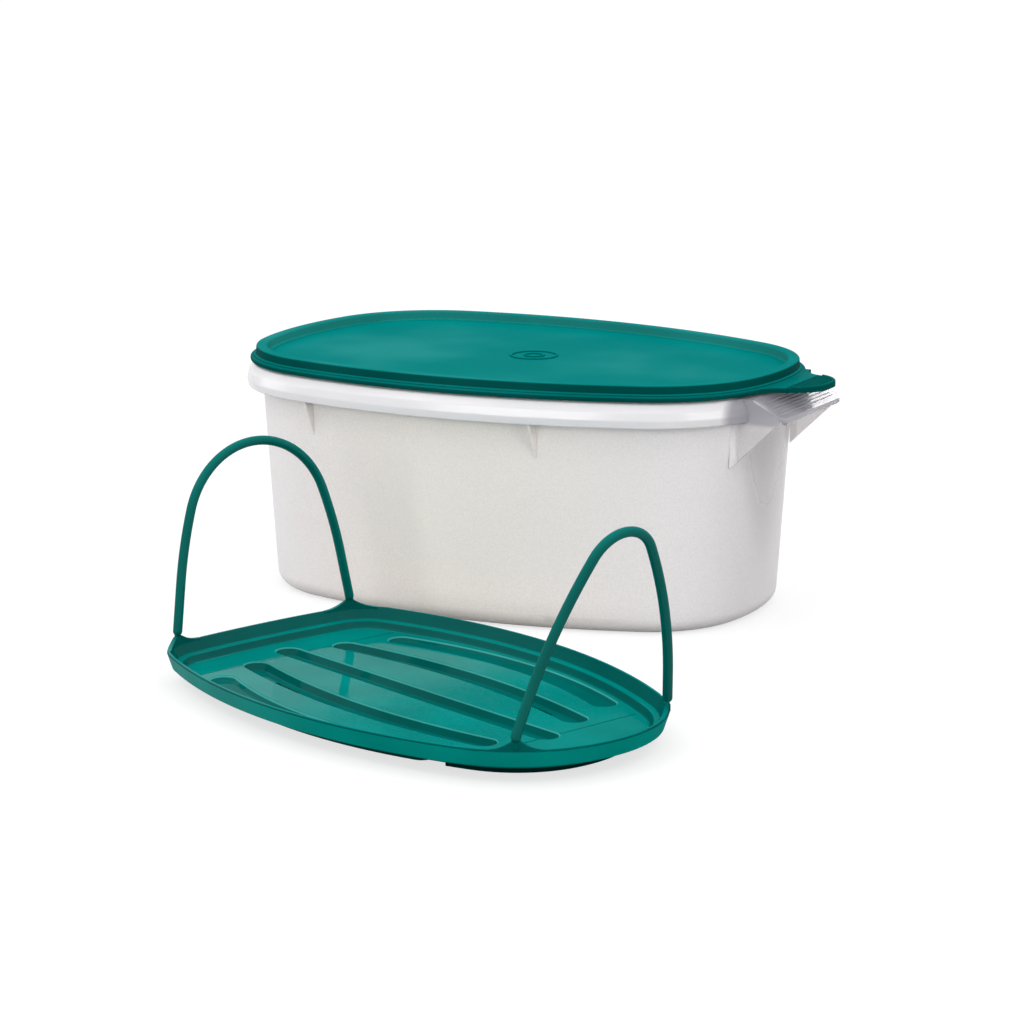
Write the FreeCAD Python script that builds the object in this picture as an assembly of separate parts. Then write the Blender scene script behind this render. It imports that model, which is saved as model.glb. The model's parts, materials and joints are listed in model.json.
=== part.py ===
import FreeCAD, Part
import math
import os

V = FreeCAD.Vector
UP = V(0, 0, 1)

# Oval covered keeper with a lift-out strainer, in millimetres, +Z up.
# The origin is the centre of the container's base. +X points to the end with
# the pull wing and the lid's tab. The strainer stands in front, on the floor.
# Every moulding follows an egg-shaped plan of tangent arcs, and a place beside
# a plan is given by its offset: positive outside the plan, negative inside.

# ---- keeper plan, at the outer top edge of the lid's rim ----
keeper_left = 150.0
keeper_right = 149.5
keeper_half_width = 102.0
keeper_widest_x = -22.0
keeper_side_r = 332.0
keeper_left_r = 194.0
keeper_left_corner_r = 69.0
keeper_right_r = 134.0
keeper_right_corner_r = 69.0

# ---- container ----
rim_top = 132.2
wall = 1.8
wall_inset = 2.2
wall_draft = 0.062
base_thickness = 2.0
base_round = 9.0
cap_inset = 14.0
rim_offset = -2.1
rim_wall = 2.0
flange_below_rim = 6.6
flange_height = 13.1
flange_out = 5.3
flange_wall = 1.8
flange_rib_x = (-82.0, 52.0)
flange_rib_wall = 1.2
flange_rib_drop = 22.0

# ---- pull wing on the container ----
wing_reach = 19.0
wing_half = 38.5
wing_root_drop = 1.2
wing_tip_drop = 10.0
wing_thickness = 2.2
wing_corner_r = 5.0
wing_bead_r = 1.7
wing_ridge_count = 6
wing_ridge_pitch = 2.0
wing_ridge_r = 0.45
gusset_wall = 1.5
gusset_drop = 38.5
gusset_foot_out = 7.5

# ---- lid ----
lid_height = 8.0
lid_wall = 1.8
land_width = 5.9
panel_recess = 5.0
panel_thickness = 1.7
seat_clearance = 0.3
lip_out = 3.3
lip_height = 2.3
tab_reach = 26.5
tab_centre_y = 4.0
tab_half = 22.0
tab_corner_r = 19.0
tab_root_r = 14.0
tab_thickness = 2.3
tab_bead_r = 1.0
ring_centre = (1.0, 3.0)
ring_radii = (12.6, 5.2)
ring_bead_r = 0.75

# ---- strainer tray ----
tray_left = 131.0
tray_right = 137.4
tray_half_width = 87.3
tray_widest_x = -15.0
tray_side_r = 281.0
tray_left_r = 560.0
tray_left_corner_r = 27.0
tray_right_r = 88.0
tray_right_corner_r = 67.0
tray_height = 16.0
tray_foot = 4.6
tray_floor = 1.6
tray_wall = 1.9
skirt_height = 8.6
skirt_draft = 2.8
step_height = 10.2
step_width = 3.2
dish_inset = 9.6
dish_round = 3.0
tray_cap_inset = 20.0
foot_inset = 18.5
foot_width = 4.5
foot_start_x = 77.5
crease_x = (-100.0, 89.5)
crease_width = 0.6
crease_depth = 0.25

# ---- long drain grooves in the strainer's floor ----
groove_rows = (0.0, 37.5, 68.5)
groove_half_lengths = (104.0, 93.0, 83.0)
groove_bows = (0.0, 9.5, 12.5)
groove_centre_x = -10.0
groove_half_width = 7.2
groove_lip = 0.7
groove_depths = (4.0, 4.0, 2.2)
groove_draft = 1.6
groove_wall = 1.5
slotted_rows = (-1, 0, 1)
slot_width = 2.4
slot_length = 22.0
slot_pitch = 36.0
slot_end_margin = 14.0

# ---- lifting hoops and their corner fins ----
rod_r = 2.35
hinge_above_rim = 6.2
hinge_gap = 0.3
fin_wall = 2.0
fin_offset = -1.45
fin_sweep_r = 22.0
fin_root = 1.2
fin_rib_r = 0.8
left_hinge_y = 54.2
right_hinge_y = 46.3
left_hoop_height = 90.6
left_crown_r = 43.5
left_crown_turn = 70.8
left_leg_lean = 9.5
left_hoop_lean = 4.6
right_hoop_height = 93.3
right_crown_r = 20.0
right_crown_turn = 60.0
right_leg_lean = 12.0
right_hoop_lean = 13.0

# ---- where the strainer stands ----
tray_place_x = 71.1
tray_place_y = -235.3
tray_turn = -19.7


class Plan:
    """A closed plan of eight tangent arcs, symmetric about the X axis."""

    def __init__(self, left, right, half_width, widest_x, side_r,
                 left_r, left_corner_r, right_r, right_corner_r):
        side = (V(widest_x, half_width - side_r), side_r)
        left_end = (V(left_r - left, 0), left_r)
        right_end = (V(right - right_r, 0), right_r)
        left_corner = self.corner(side, left_end, left_corner_r, -1)
        right_corner = self.corner(side, right_end, right_corner_r, 1)
        turns = [
            self.angle(right_end, right_corner),
            self.angle(side, right_corner),
            self.angle(side, left_corner),
            self.angle(left_end, left_corner),
        ]
        self.corners = {"left": left_corner, "right": right_corner}
        upper = [
            (right_corner, turns[0], turns[1]),
            (side, turns[1], turns[2]),
            (left_corner, turns[2], turns[3]),
        ]
        lower = []
        for (centre, radius), start, end in reversed(upper):
            lower.append(((V(centre.x, -centre.y), radius), -end, -start))
        self.arcs = [(right_end, -turns[0], turns[0])]
        self.arcs += upper
        self.arcs.append((left_end, turns[3], 2 * math.pi - turns[3]))
        self.arcs += lower

    @staticmethod
    def corner(side, end, radius, sign):
        """Circle of the given radius that touches two larger arcs from inside."""
        reach_a = side[1] - radius
        reach_b = end[1] - radius
        span = (end[0] - side[0]).Length
        along = (end[0] - side[0]) / span
        across = V(-along.y, along.x)
        x = (span ** 2 + reach_a ** 2 - reach_b ** 2) / (2 * span)
        y = math.sqrt(reach_a ** 2 - x ** 2)
        options = [side[0] + along * x + across * y,
                   side[0] + along * x - across * y]
        return (max(options, key=lambda p: p.y + sign * p.x), radius)

    @staticmethod
    def angle(big, small):
        """Direction from a large arc's centre to its tangent point."""
        step = small[0] - big[0]
        return math.atan2(step.y, step.x)

    def wire(self, offset, z):
        """The plan's outline, moved out by offset, at height z."""
        edges = []
        for (centre, radius), start, end in self.arcs:
            at = V(centre.x, centre.y, z)
            a, b = math.degrees(start), math.degrees(end)
            edges.append(Part.makeCircle(radius + offset, at, UP, a, b))
        return Part.Wire(edges)

    def slab(self, offset, low, high):
        """Solid of the whole plan between two heights."""
        return Part.Face(self.wire(offset, low)).extrude(V(0, 0, high - low))

    def band(self, inner, outer, low, high):
        """Solid ring between two offsets of the plan and two heights."""
        return self.slab(outer, low, high).cut(self.slab(inner, low - 1, high + 1))

    def point(self, x, offset):
        """Point at the rear, beside the plan, that has the given x."""
        for (centre, radius), start, end in self.arcs[1:4]:
            reach = radius + offset
            if abs(x - centre.x) < reach:
                turn = math.acos((x - centre.x) / reach)
                if start <= turn <= end:
                    return V(x, centre.y + reach * math.sin(turn))
        raise ValueError("no such point beside the plan")

    def end_point(self, y, offset, sign):
        """Point beside the plan at height y up its left or right end.

        Also gives the direction that points straight out of the plan there.
        """
        for (centre, radius), start, end in [self.arcs[0]] + self.arcs[1:5]:
            reach = radius + offset
            if abs(y - centre.y) < reach:
                x = centre.x + sign * math.sqrt(reach ** 2 - (y - centre.y) ** 2)
                out = V(x, y) - centre
                turn = math.atan2(out.y, out.x)
                if start <= turn <= end:
                    return V(x, y), out.normalize()
        raise ValueError("no such point at the plan's end")

    def swept(self, profile):
        """Solid whose section beside the plan is an open path of corners.

        Each corner is (offset, height, rounding). The path's two ends are
        closed by flat faces across the plan.
        """
        sections = rounded_path(profile)
        faces = []
        for (centre, radius), start, end in self.arcs:
            turn = math.degrees(end - start)
            axis = V(centre.x, centre.y, 0)
            out = V(math.cos(start), math.sin(start))
            for points in sections:
                spots = [axis + out * (radius + u) + UP * z for u, z in points]
                if len(spots) == 2:
                    edge = Part.makeLine(*spots)
                else:
                    edge = Part.Arc(*spots).toShape()
                faces.append(edge.revolve(axis, UP, turn))
        for u, z in (profile[0][:2], profile[-1][:2]):
            faces.append(Part.Face(self.wire(u, z)))
        shell = Part.makeShell(faces)
        shell.sewShape()
        solid = Part.makeSolid(Part.Shell(shell.Faces))
        if solid.Volume < 0:
            solid.reverse()
        return solid


def rounded_path(corners):
    """Lines and arcs through corners (u, z, rounding), as point lists."""
    pieces = []
    last = corners[0][:2]
    for before, here, after in zip(corners, corners[1:], corners[2:]):
        corner = V(here[0], here[1])
        back = (V(before[0], before[1]) - corner).normalize()
        ahead = (V(after[0], after[1]) - corner).normalize()
        radius = here[2]
        if radius > 0:
            half = back.getAngle(ahead) / 2
            reach = radius / math.tan(half)
            middle = (back + ahead).normalize()
            depth = radius / math.sin(half) - radius
            first = corner + back * reach
            top = corner + middle * depth
            second = corner + ahead * reach
            pieces.append([last, (first.x, first.y)])
            pieces.append([(first.x, first.y), (top.x, top.y), (second.x, second.y)])
            last = (second.x, second.y)
        else:
            pieces.append([last, here[:2]])
            last = here[:2]
    pieces.append([last, corners[-1][:2]])
    return pieces


def mirrored(shape):
    """The shape's mirror image across the XZ plane."""
    return shape.mirror(V(0, 0, 0), V(0, 1, 0))


def plate(points, thickness, y):
    """Plate parallel to the XZ plane, centred on y, from (x, z) corners."""
    spots = [V(px, y - thickness / 2, pz) for px, pz in points]
    face = Part.Face(Part.makePolygon(spots + spots[:1]))
    return face.extrude(V(0, thickness, 0))


def wall_offset(z):
    """Offset of the container's outer wall at height z."""
    return -(wall_inset + (lid_top - z) * wall_draft)


wing_tip_x = keeper_right + wing_reach
tab_tip_x = keeper_right + tab_reach
lid_top = rim_top + lid_wall
panel_top = lid_top - panel_recess
flange_top = rim_top - flange_below_rim
flange_foot = flange_top - flange_height
wing_root_top = flange_top - wing_root_drop
wing_tip_top = flange_top - wing_tip_drop
keeper = Plan(keeper_left, keeper_right, keeper_half_width, keeper_widest_x,
              keeper_side_r, keeper_left_r, keeper_left_corner_r,
              keeper_right_r, keeper_right_corner_r)
tray_plan = Plan(tray_left, tray_right, tray_half_width, tray_widest_x,
                 tray_side_r, tray_left_r, tray_left_corner_r,
                 tray_right_r, tray_right_corner_r)


def container_shell():
    """Floor, drafted wall, hanging flange and rim, in one section."""
    base = wall_offset(0)
    inner_base = wall_offset(base_thickness) - wall
    skin = flange_out - flange_wall
    roof = flange_top - flange_wall
    return keeper.swept([
        (base - cap_inset, 0, 0),
        (base, 0, base_round),
        (wall_offset(roof - 0.6), roof - 0.6, 0),
        (0.4, roof - 1.1, 0),
        (skin - 0.7, roof - 4.2, 0),
        (skin, roof - 6.8, 0),
        (skin - 0.4, flange_foot, 0.5),
        (flange_out - 0.6, flange_foot, 0.8),
        (flange_out, flange_foot + 4.2, 3.0),
        (flange_out - 0.8, flange_top - 4.8, 3.0),
        (1.9, flange_top - 0.9, 1.5),
        (rim_offset, flange_top, 0.4),
        (rim_offset, rim_top, 0.5),
        (rim_offset - rim_wall, rim_top, 0.5),
        (wall_offset(flange_top) - wall, flange_top, 2.0),
        (inner_base, base_thickness, base_round - wall),
        (inner_base - cap_inset, base_thickness, 0),
    ])


def wing_profile():
    """Corners of the wing's section in X and Z, from inside the wall to tip."""
    inner_x = keeper_right - 20.0
    root_x = keeper_right + 1.0
    return [
        (inner_x, wing_root_top),
        (root_x, wing_root_top),
        (wing_tip_x, wing_tip_top),
        (wing_tip_x, wing_tip_top - wing_thickness),
        (root_x, wing_root_top - wing_thickness),
        (inner_x, wing_root_top - wing_thickness),
    ]


def pull_wing():
    """Sloping grip beside the flange, with a bead, ridges and two gussets."""
    inner_x = keeper_right - 20.0
    root_x = keeper_right + 1.0
    slope = (wing_tip_top - wing_root_top) / (wing_tip_x - root_x)
    leaf = plate(wing_profile(), 2 * wing_half + 2, 0)
    span = wing_tip_x - inner_x
    outline = Part.makeBox(span, 2 * wing_half, lid_top, V(inner_x, -wing_half, 0))
    corners = [e for e in outline.Edges
               if abs(e.Length - lid_top) < 0.01 and e.CenterOfMass.x > wing_tip_x - 1]
    leaf = leaf.common(outline.makeFillet(wing_corner_r, corners))
    bead_z = wing_tip_top - wing_thickness + wing_bead_r * 0.4
    bead_x = wing_tip_x - wing_bead_r
    bead_half = wing_half - wing_corner_r
    bead = Part.makeCylinder(wing_bead_r, 2 * bead_half, V(bead_x, -bead_half, bead_z), V(0, 1, 0))
    parts = [bead]
    for i in range(wing_ridge_count):
        x = wing_tip_x - 3.6 - i * wing_ridge_pitch
        z = wing_root_top + slope * (x - root_x)
        ridge_half = wing_half - wing_corner_r - 1.0
        at = V(x, -ridge_half, z)
        parts.append(Part.makeCylinder(wing_ridge_r, 2 * ridge_half, at, V(0, 1, 0)))
    side_y = wing_half - gusset_wall / 2
    foot_z = wing_root_top - gusset_drop
    buried = wing_thickness / 2
    web = plate([
        (inner_x, wing_root_top - buried),
        (root_x, wing_root_top - buried),
        (wing_tip_x - wing_bead_r, wing_tip_top - buried),
        (inner_x + gusset_foot_out, foot_z),
        (inner_x, foot_z),
    ], gusset_wall, side_y)
    parts += [web, mirrored(web)]
    return leaf.fuse(parts)


def flange_rib(x):
    """Upright rib under the flange that runs down the wall to nothing."""
    out = keeper.point(x, flange_out - flange_wall / 2)
    high = flange_top - flange_wall / 2
    low = flange_foot - flange_rib_drop
    foot = keeper.point(x, wall_offset(low) - wall / 2)
    root = keeper.point(x, wall_offset(high) - wall / 2)
    spots = [
        V(x, out.y, flange_foot + 0.6),
        V(x, out.y - 1.2, high - 5),
        V(x, out.y - 2.9, high - 1.5),
        V(x, root.y + 1.5, high - 0.5),
        V(x, root.y, high - 0.5),
        V(x, foot.y, low),
    ]
    face = Part.Face(Part.makePolygon(spots + spots[:1]))
    face.translate(V(-flange_rib_wall / 2, 0, 0))
    return face.extrude(V(flange_rib_wall, 0, 0))


def make_container():
    shell = container_shell()
    cavity = keeper.slab(wall_offset(flange_foot) - wall / 2, -1, rim_top)
    grip = pull_wing().cut(cavity)
    added = [grip]
    for x in flange_rib_x:
        rib = flange_rib(x)
        added += [rib, mirrored(rib)]
    return shell.fuse(added).removeSplitter()


def lid_shell():
    """Recessed panel, rim channel, skirt and stepped lip, in one section."""
    plug = rim_offset - rim_wall - seat_clearance
    skirt_foot = lid_top - lid_height
    land = -land_width
    under = panel_top - panel_thickness
    return keeper.swept([
        (land - cap_inset, under, 0),
        (plug - 0.7, under, 0.7),
        (plug - 0.1, rim_top, 0.3),
        (rim_offset + seat_clearance, rim_top, 0.3),
        (rim_offset + seat_clearance, skirt_foot, 0.3),
        (lip_out, skirt_foot, 0.8),
        (lip_out, skirt_foot + lip_height, 0.8),
        (1.6, skirt_foot + lip_height + 0.4, 0.3),
        (1.4, skirt_foot + lip_height + 1.0, 0.3),
        (0.3, skirt_foot + lip_height + 1.4, 0.6),
        (0, lid_top, 0.8),
        (land, lid_top, 0.9),
        (land - 0.7, panel_top, 1.2),
        (land - cap_inset, panel_top, 0),
    ])


def lid_tab():
    """Rounded finger tab that widens into the lip, with a raised edge."""
    low = lid_top - lid_height
    high = low + tab_thickness
    root_x = keeper_right - 12.0
    length = tab_tip_x - root_x
    tab = Part.makeBox(length, 2 * tab_half, tab_thickness, V(root_x, -tab_half, low))
    tips = [e for e in tab.Edges
            if abs(e.Length - tab_thickness) < 0.01 and e.CenterOfMass.x > tab_tip_x - 1]
    tab = tab.makeFillet(tab_corner_r, tips)
    path_x = tab_tip_x - tab_bead_r
    inner_r = tab_corner_r - tab_bead_r
    turn_y = tab_half - tab_corner_r
    turn_x = tab_tip_x - tab_corner_r
    straight = Part.makeCylinder(tab_bead_r, 2 * turn_y, V(path_x, -turn_y, high), V(0, 1, 0))
    ring = Part.makeTorus(inner_r, tab_bead_r, V(turn_x, turn_y, high), UP, -180, 180, 70)
    tab = tab.fuse([straight, ring, mirrored(ring)])
    tab.translate(V(0, tab_centre_y, 0))
    return tab


def tab_fillets():
    """Concave fills between the lip and the tab's two sides."""
    low = lid_top - lid_height
    fills = []
    reach = tab_root_r
    lip = keeper.slab(lip_out - 0.2, low, low + tab_thickness)
    corner_x = keeper.point(keeper_right - 5.0, lip_out).x
    for sign in (1, -1):
        side = tab_centre_y + sign * tab_half
        y = side if sign > 0 else side - reach
        block = Part.makeBox(2.2 * reach, reach, tab_thickness, V(corner_x - reach, y, low))
        hole_x = corner_x + 1.35 * reach
        hole_y = side + sign * reach
        hole = Part.makeCylinder(reach, tab_thickness, V(hole_x, hole_y, low))
        spare = Part.makeBox(2 * reach, 2 * reach, tab_thickness, V(hole_x, hole_y - reach, low))
        fills.append(block.cut([hole, spare, lip]))
    return fills


def make_lid():
    rings = []
    for radius in ring_radii:
        at = V(ring_centre[0], ring_centre[1], panel_top)
        rings.append(Part.makeTorus(radius, ring_bead_r, at, UP))
    inside = keeper.slab(rim_offset + seat_clearance + 0.4, 0, lid_top)
    tab = lid_tab().cut(inside)
    lid = lid_shell().fuse([tab] + tab_fillets())
    return lid.fuse(rings).removeSplitter()


def tray_shell():
    """Two-step dish with a hanging skirt, in one section."""
    base = tray_foot
    floor = base + tray_floor
    skirt_foot = tray_height - skirt_height
    step = -(tray_wall + skirt_draft)
    ledge = step - step_width
    ledge_top = step_height - 0.4
    return tray_plan.swept([
        (-tray_cap_inset, base, 0),
        (-dish_inset + 0.5 * tray_floor, base, dish_round),
        (ledge + 0.6 * tray_floor, ledge_top - tray_floor, 0.8),
        (step, ledge_top - tray_floor + 0.3, 0.3),
        (step + 0.2, skirt_foot, 0.4),
        (-skirt_draft, skirt_foot, 0.7),
        (0, tray_height, 0.8),
        (-tray_wall, tray_height, 0.6),
        (step, step_height, 1.0),
        (ledge, ledge_top, 1.0),
        (-dish_inset, floor, 2.0),
        (-tray_cap_inset, floor, 0),
    ])


def groove_course(row):
    """A groove's end centres, bow centre and half angle of bow, in its plan."""
    step = abs(row)
    half = groove_half_lengths[step] - groove_half_width
    bow = groove_bows[step]
    sign = 1 if row > 0 else -1
    y = sign * (groove_rows[step] - bow)
    left = V(groove_centre_x - half, y)
    right = V(groove_centre_x + half, y)
    if bow == 0:
        return left, right, None, 0.0
    radius = (half ** 2 + bow ** 2) / (2 * bow)
    centre = V(groove_centre_x, sign * (groove_rows[step] - radius))
    return left, right, centre, math.asin(half / radius)


def groove_outline(row, half_width, z):
    """Closed outline of a groove, with round ends, at height z."""
    left, right, centre, turn = groove_course(row)
    across = V(0, half_width)
    if centre is None:
        side_a = Part.makeLine(left + across, right + across)
        side_b = Part.makeLine(right - across, left - across)
        tips = [V(half_width, 0), V(-half_width, 0)]
        first, second = across, -across
    else:
        sign = 1 if centre.y < left.y else -1
        out = (right - centre).normalize()
        other = (left - centre).normalize()
        ahead = V(-out.y, out.x) * -sign
        behind = V(-other.y, other.x) * sign
        tips = [ahead * half_width, behind * half_width]
        middle = V(0, sign)
        radius = (left - centre).Length
        far, near = radius + half_width, radius - half_width
        side_a = Part.Arc(centre + other * far, centre + middle * far, centre + out * far).toShape()
        side_b = Part.Arc(centre + out * near, centre + middle * near, centre + other * near).toShape()
        first, second = out * half_width, -out * half_width
        across = other * half_width
    end_a = Part.Arc(right + first, right + tips[0], right + second).toShape()
    end_b = Part.Arc(left - across, left + tips[1], left + across).toShape()
    wire = Part.Wire([side_a, end_a, side_b, end_b])
    wire.translate(V(0, 0, z))
    return wire


def groove_solid(row, levels):
    """Solid of a groove from (half width, height) levels, bottom first."""
    outlines = [groove_outline(row, half, z) for half, z in levels]
    return Part.makeLoft(outlines, True, True)


def groove_pair(row):
    """What one groove adds under the floor and what it hollows out."""
    floor = tray_foot + tray_floor
    deep = floor - groove_depths[abs(row)]
    foot = groove_half_width - groove_lip - groove_draft
    middle = tray_foot + tray_floor / 2
    under = groove_solid(row, [
        (foot + 0.6 * groove_wall, deep - groove_wall),
        (foot + groove_wall, deep - 0.6 * groove_wall),
        (groove_half_width + 0.6 * groove_wall, middle),
    ])
    hollow = groove_solid(row, [
        (foot - 0.6, deep),
        (foot, deep + 0.3),
        (groove_half_width - groove_lip, floor - 0.6 * groove_lip),
        (groove_half_width, floor),
        (groove_half_width + 0.05, floor + 0.2),
    ])
    return under, hollow


def groove_slots(row):
    """Short drain slots through the bottom of one groove."""
    left, right, centre, turn = groove_course(row)
    depth = groove_depths[abs(row)]
    low = tray_foot - depth - groove_wall
    high = tray_foot + tray_floor - depth / 2
    run = right.x - left.x - 2 * slot_end_margin
    count = int(run // slot_pitch) + 1
    slots = []
    for i in range(count):
        x = groove_centre_x + (i - (count - 1) / 2) * slot_pitch
        slot = Part.makeBox(slot_length, slot_width, high - low,
                            V(-slot_length / 2, -slot_width / 2, low))
        place = V(x, left.y)
        if centre is not None:
            radius = (left - centre).Length
            lean = math.asin((x - centre.x) / radius)
            sign = 1 if centre.y < left.y else -1
            slot.rotate(V(0, 0, 0), UP, -sign * math.degrees(lean))
            place = centre + V(math.sin(lean), sign * math.cos(lean)) * radius
        slot.translate(place)
        slots.append(slot)
    return slots


def creases():
    """Shallow creases across the floor near both ends."""
    floor = tray_foot + tray_floor
    flat = tray_plan.slab(-dish_inset - 2.0, floor - crease_depth, floor + 1)
    wide = 2 * tray_half_width
    return [Part.makeBox(crease_width, wide, 3, V(x, -wide / 2, floor - 1)).common(flat)
            for x in crease_x]


def hinge_point(side):
    """Rear hinge place at one end of the strainer, and the way out of it."""
    y = left_hinge_y if side == "left" else right_hinge_y
    return tray_plan.end_point(y, fin_offset, -1 if side == "left" else 1)


def corner_fin(side):
    """Fin that sweeps up from the rim to a hinge, wrapped round the corner."""
    spot, out = hinge_point(side)
    top = tray_height + hinge_above_rim - rod_r - hinge_gap
    rise = top - tray_height
    seat = rod_r + 0.3
    low = tray_height - fin_root
    sweep_turn = math.acos(1 - rise / fin_sweep_r)
    run = fin_sweep_r * math.sin(sweep_turn)
    middle_x = seat + run - fin_sweep_r * math.sin(sweep_turn / 2)
    middle_z = tray_height + fin_sweep_r * (1 - math.cos(sweep_turn / 2))
    sweep = Part.Arc(V(seat, 0, top), V(middle_x, 0, middle_z), V(seat + run, 0, tray_height))
    bell = Part.Wire([
        Part.makeLine(V(0, 0, low), V(0, 0, top)),
        Part.makeLine(V(0, 0, top), V(seat, 0, top)),
        sweep.toShape(),
        Part.makeLine(V(seat + run, 0, tray_height), V(seat + run, 0, low)),
        Part.makeLine(V(seat + run, 0, low), V(0, 0, low)),
    ])
    bell = Part.Face(bell).revolve(V(0, 0, 0), UP, 360)
    bell.translate(spot)
    outer = fin_offset + fin_wall / 2
    ring = tray_plan.band(outer - fin_wall, outer, low, top)
    fin = ring.common(bell)
    at = spot + out * (fin_wall / 2 - 0.3)
    rib = Part.makeCylinder(fin_rib_r, rise - 0.2, V(at.x, at.y, tray_height - 0.3))
    return fin.fuse(rib)


def tray_feet():
    """Feet under both ends of the dish."""
    ring = tray_plan.band(-foot_inset - foot_width, -foot_inset, 0, tray_foot + 0.4)
    wide = 2 * tray_half_width
    right = Part.makeBox(tray_right, wide, tray_height, V(foot_start_x, -wide / 2, -1))
    left = Part.makeBox(tray_left, wide, tray_height, V(-foot_start_x - tray_left, -wide / 2, -1))
    return [ring.common(right), ring.common(left)]


def make_tray():
    added = tray_feet()
    cuts = creases()
    for row in (-2, -1, 0, 1, 2):
        under, hollow = groove_pair(row)
        added.append(under)
        cuts.append(hollow)
        if row in slotted_rows:
            cuts += groove_slots(row)
    tray = tray_shell().fuse(added).cut(cuts)
    fins = []
    for side in ("left", "right"):
        fin = corner_fin(side)
        fins += [fin, mirrored(fin)]
    return tray.fuse(fins).removeSplitter()


def make_hoop(side, height, crown_r, crown_turn, leg_lean):
    """Round rod in straight legs, shoulders and a crown, on its two feet.

    The crown turns by crown_turn to each side. The shoulders carry on to the
    legs, which lean in by leg_lean. Their radius and the legs' length follow
    from the height and the distance between the feet.
    """
    spot = hinge_point(side)[0]
    crown = math.radians(crown_turn)
    leg = math.radians(90 - leg_lean)
    wide = spot.y - crown_r * math.sin(crown)
    tall = height - rod_r - crown_r * (1 - math.cos(crown))
    arc_wide = math.sin(leg) - math.sin(crown)
    arc_tall = math.cos(crown) - math.cos(leg)
    spread = arc_wide * math.sin(leg) - arc_tall * math.cos(leg)
    shoulder_r = (wide * math.sin(leg) - tall * math.cos(leg)) / spread
    leg_length = (tall * arc_wide - wide * arc_tall) / spread
    top = height - rod_r
    bend = V(0, crown_r * math.sin(crown), top - crown_r * (1 - math.cos(crown)))
    centre = bend - V(0, math.sin(crown), math.cos(crown)) * shoulder_r
    half_way = (crown + leg) / 2
    middle = centre + V(0, math.sin(half_way), math.cos(half_way)) * shoulder_r
    knee = centre + V(0, math.sin(leg), math.cos(leg)) * shoulder_r
    foot = knee + V(0, math.cos(leg), -math.sin(leg)) * leg_length

    def other(point):
        return V(0, -point.y, point.z)

    path = Part.Wire([
        Part.makeLine(other(foot), other(knee)),
        Part.Arc(other(knee), other(middle), other(bend)).toShape(),
        Part.Arc(other(bend), V(0, 0, top), bend).toShape(),
        Part.Arc(bend, middle, knee).toShape(),
        Part.makeLine(knee, foot),
    ])
    start = Part.Wire(Part.makeCircle(rod_r, other(foot), other(knee) - other(foot)))
    rod = path.makePipeShell([start], True, True)
    balls = [Part.makeSphere(rod_r, foot), Part.makeSphere(rod_r, other(foot))]
    hoop = rod.fuse(balls).removeSplitter()
    hoop.translate(V(spot.x, 0, tray_height + hinge_above_rim))
    return hoop


def stood(shape):
    """A strainer piece moved from its own frame to where it stands."""
    shape = shape.copy()
    shape.rotate(V(0, 0, 0), UP, tray_turn)
    shape.translate(V(tray_place_x, tray_place_y, 0))
    return shape


def build():
    left = make_hoop("left", left_hoop_height, left_crown_r, left_crown_turn, left_leg_lean)
    right = make_hoop("right", right_hoop_height, right_crown_r, right_crown_turn, right_leg_lean)
    axis_z = tray_height + hinge_above_rim
    left.rotate(V(hinge_point("left")[0].x, 0, axis_z), V(0, 1, 0), -left_hoop_lean)
    right.rotate(V(hinge_point("right")[0].x, 0, axis_z), V(0, 1, 0), right_hoop_lean)
    return {
        "container": make_container(),
        "lid": make_lid(),
        "strainer_tray": stood(make_tray()),
        "left_hoop": stood(left),
        "right_hoop": stood(right),
    }


os.makedirs("parts", exist_ok=True)
for name, shape in build().items():
    if shape.ShapeType != "Solid":
        shape = Part.Solid(shape.Solids[0]) if len(shape.Solids) == 1 else shape
    shape.exportStep(f"parts/{name}.step")
    print(name, shape.ShapeType, len(shape.Solids), shape.isValid(), round(shape.Volume))
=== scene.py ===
"""Oval pickle keeper with a press-on lid and a lift-out strainer.

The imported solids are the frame. This add-on dresses them in moulded plastics,
adds the tab's grip and the hoops' living hinges, and sets the stage.
"""

import json
import math

import bmesh
import bpy
from mathutils import Matrix, Vector


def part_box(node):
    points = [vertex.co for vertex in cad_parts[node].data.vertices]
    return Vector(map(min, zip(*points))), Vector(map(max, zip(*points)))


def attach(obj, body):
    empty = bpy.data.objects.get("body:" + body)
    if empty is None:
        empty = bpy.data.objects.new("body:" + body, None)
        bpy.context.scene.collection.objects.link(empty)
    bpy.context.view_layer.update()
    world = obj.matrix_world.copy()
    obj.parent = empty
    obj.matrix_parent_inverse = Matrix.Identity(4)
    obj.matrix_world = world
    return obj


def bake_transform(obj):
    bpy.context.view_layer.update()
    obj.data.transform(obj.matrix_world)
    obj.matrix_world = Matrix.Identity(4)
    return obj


bl_info = {
    "name": "Pickle Keeper with Lift Strainer",
    "version": (1, 0, 0),
    "blender": (4, 5, 0),
    "location": "View3D > Sidebar > Keeper",
    "description": "Dresses an oval covered keeper and its lift-out strainer",
    "category": "Object",
}

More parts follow.
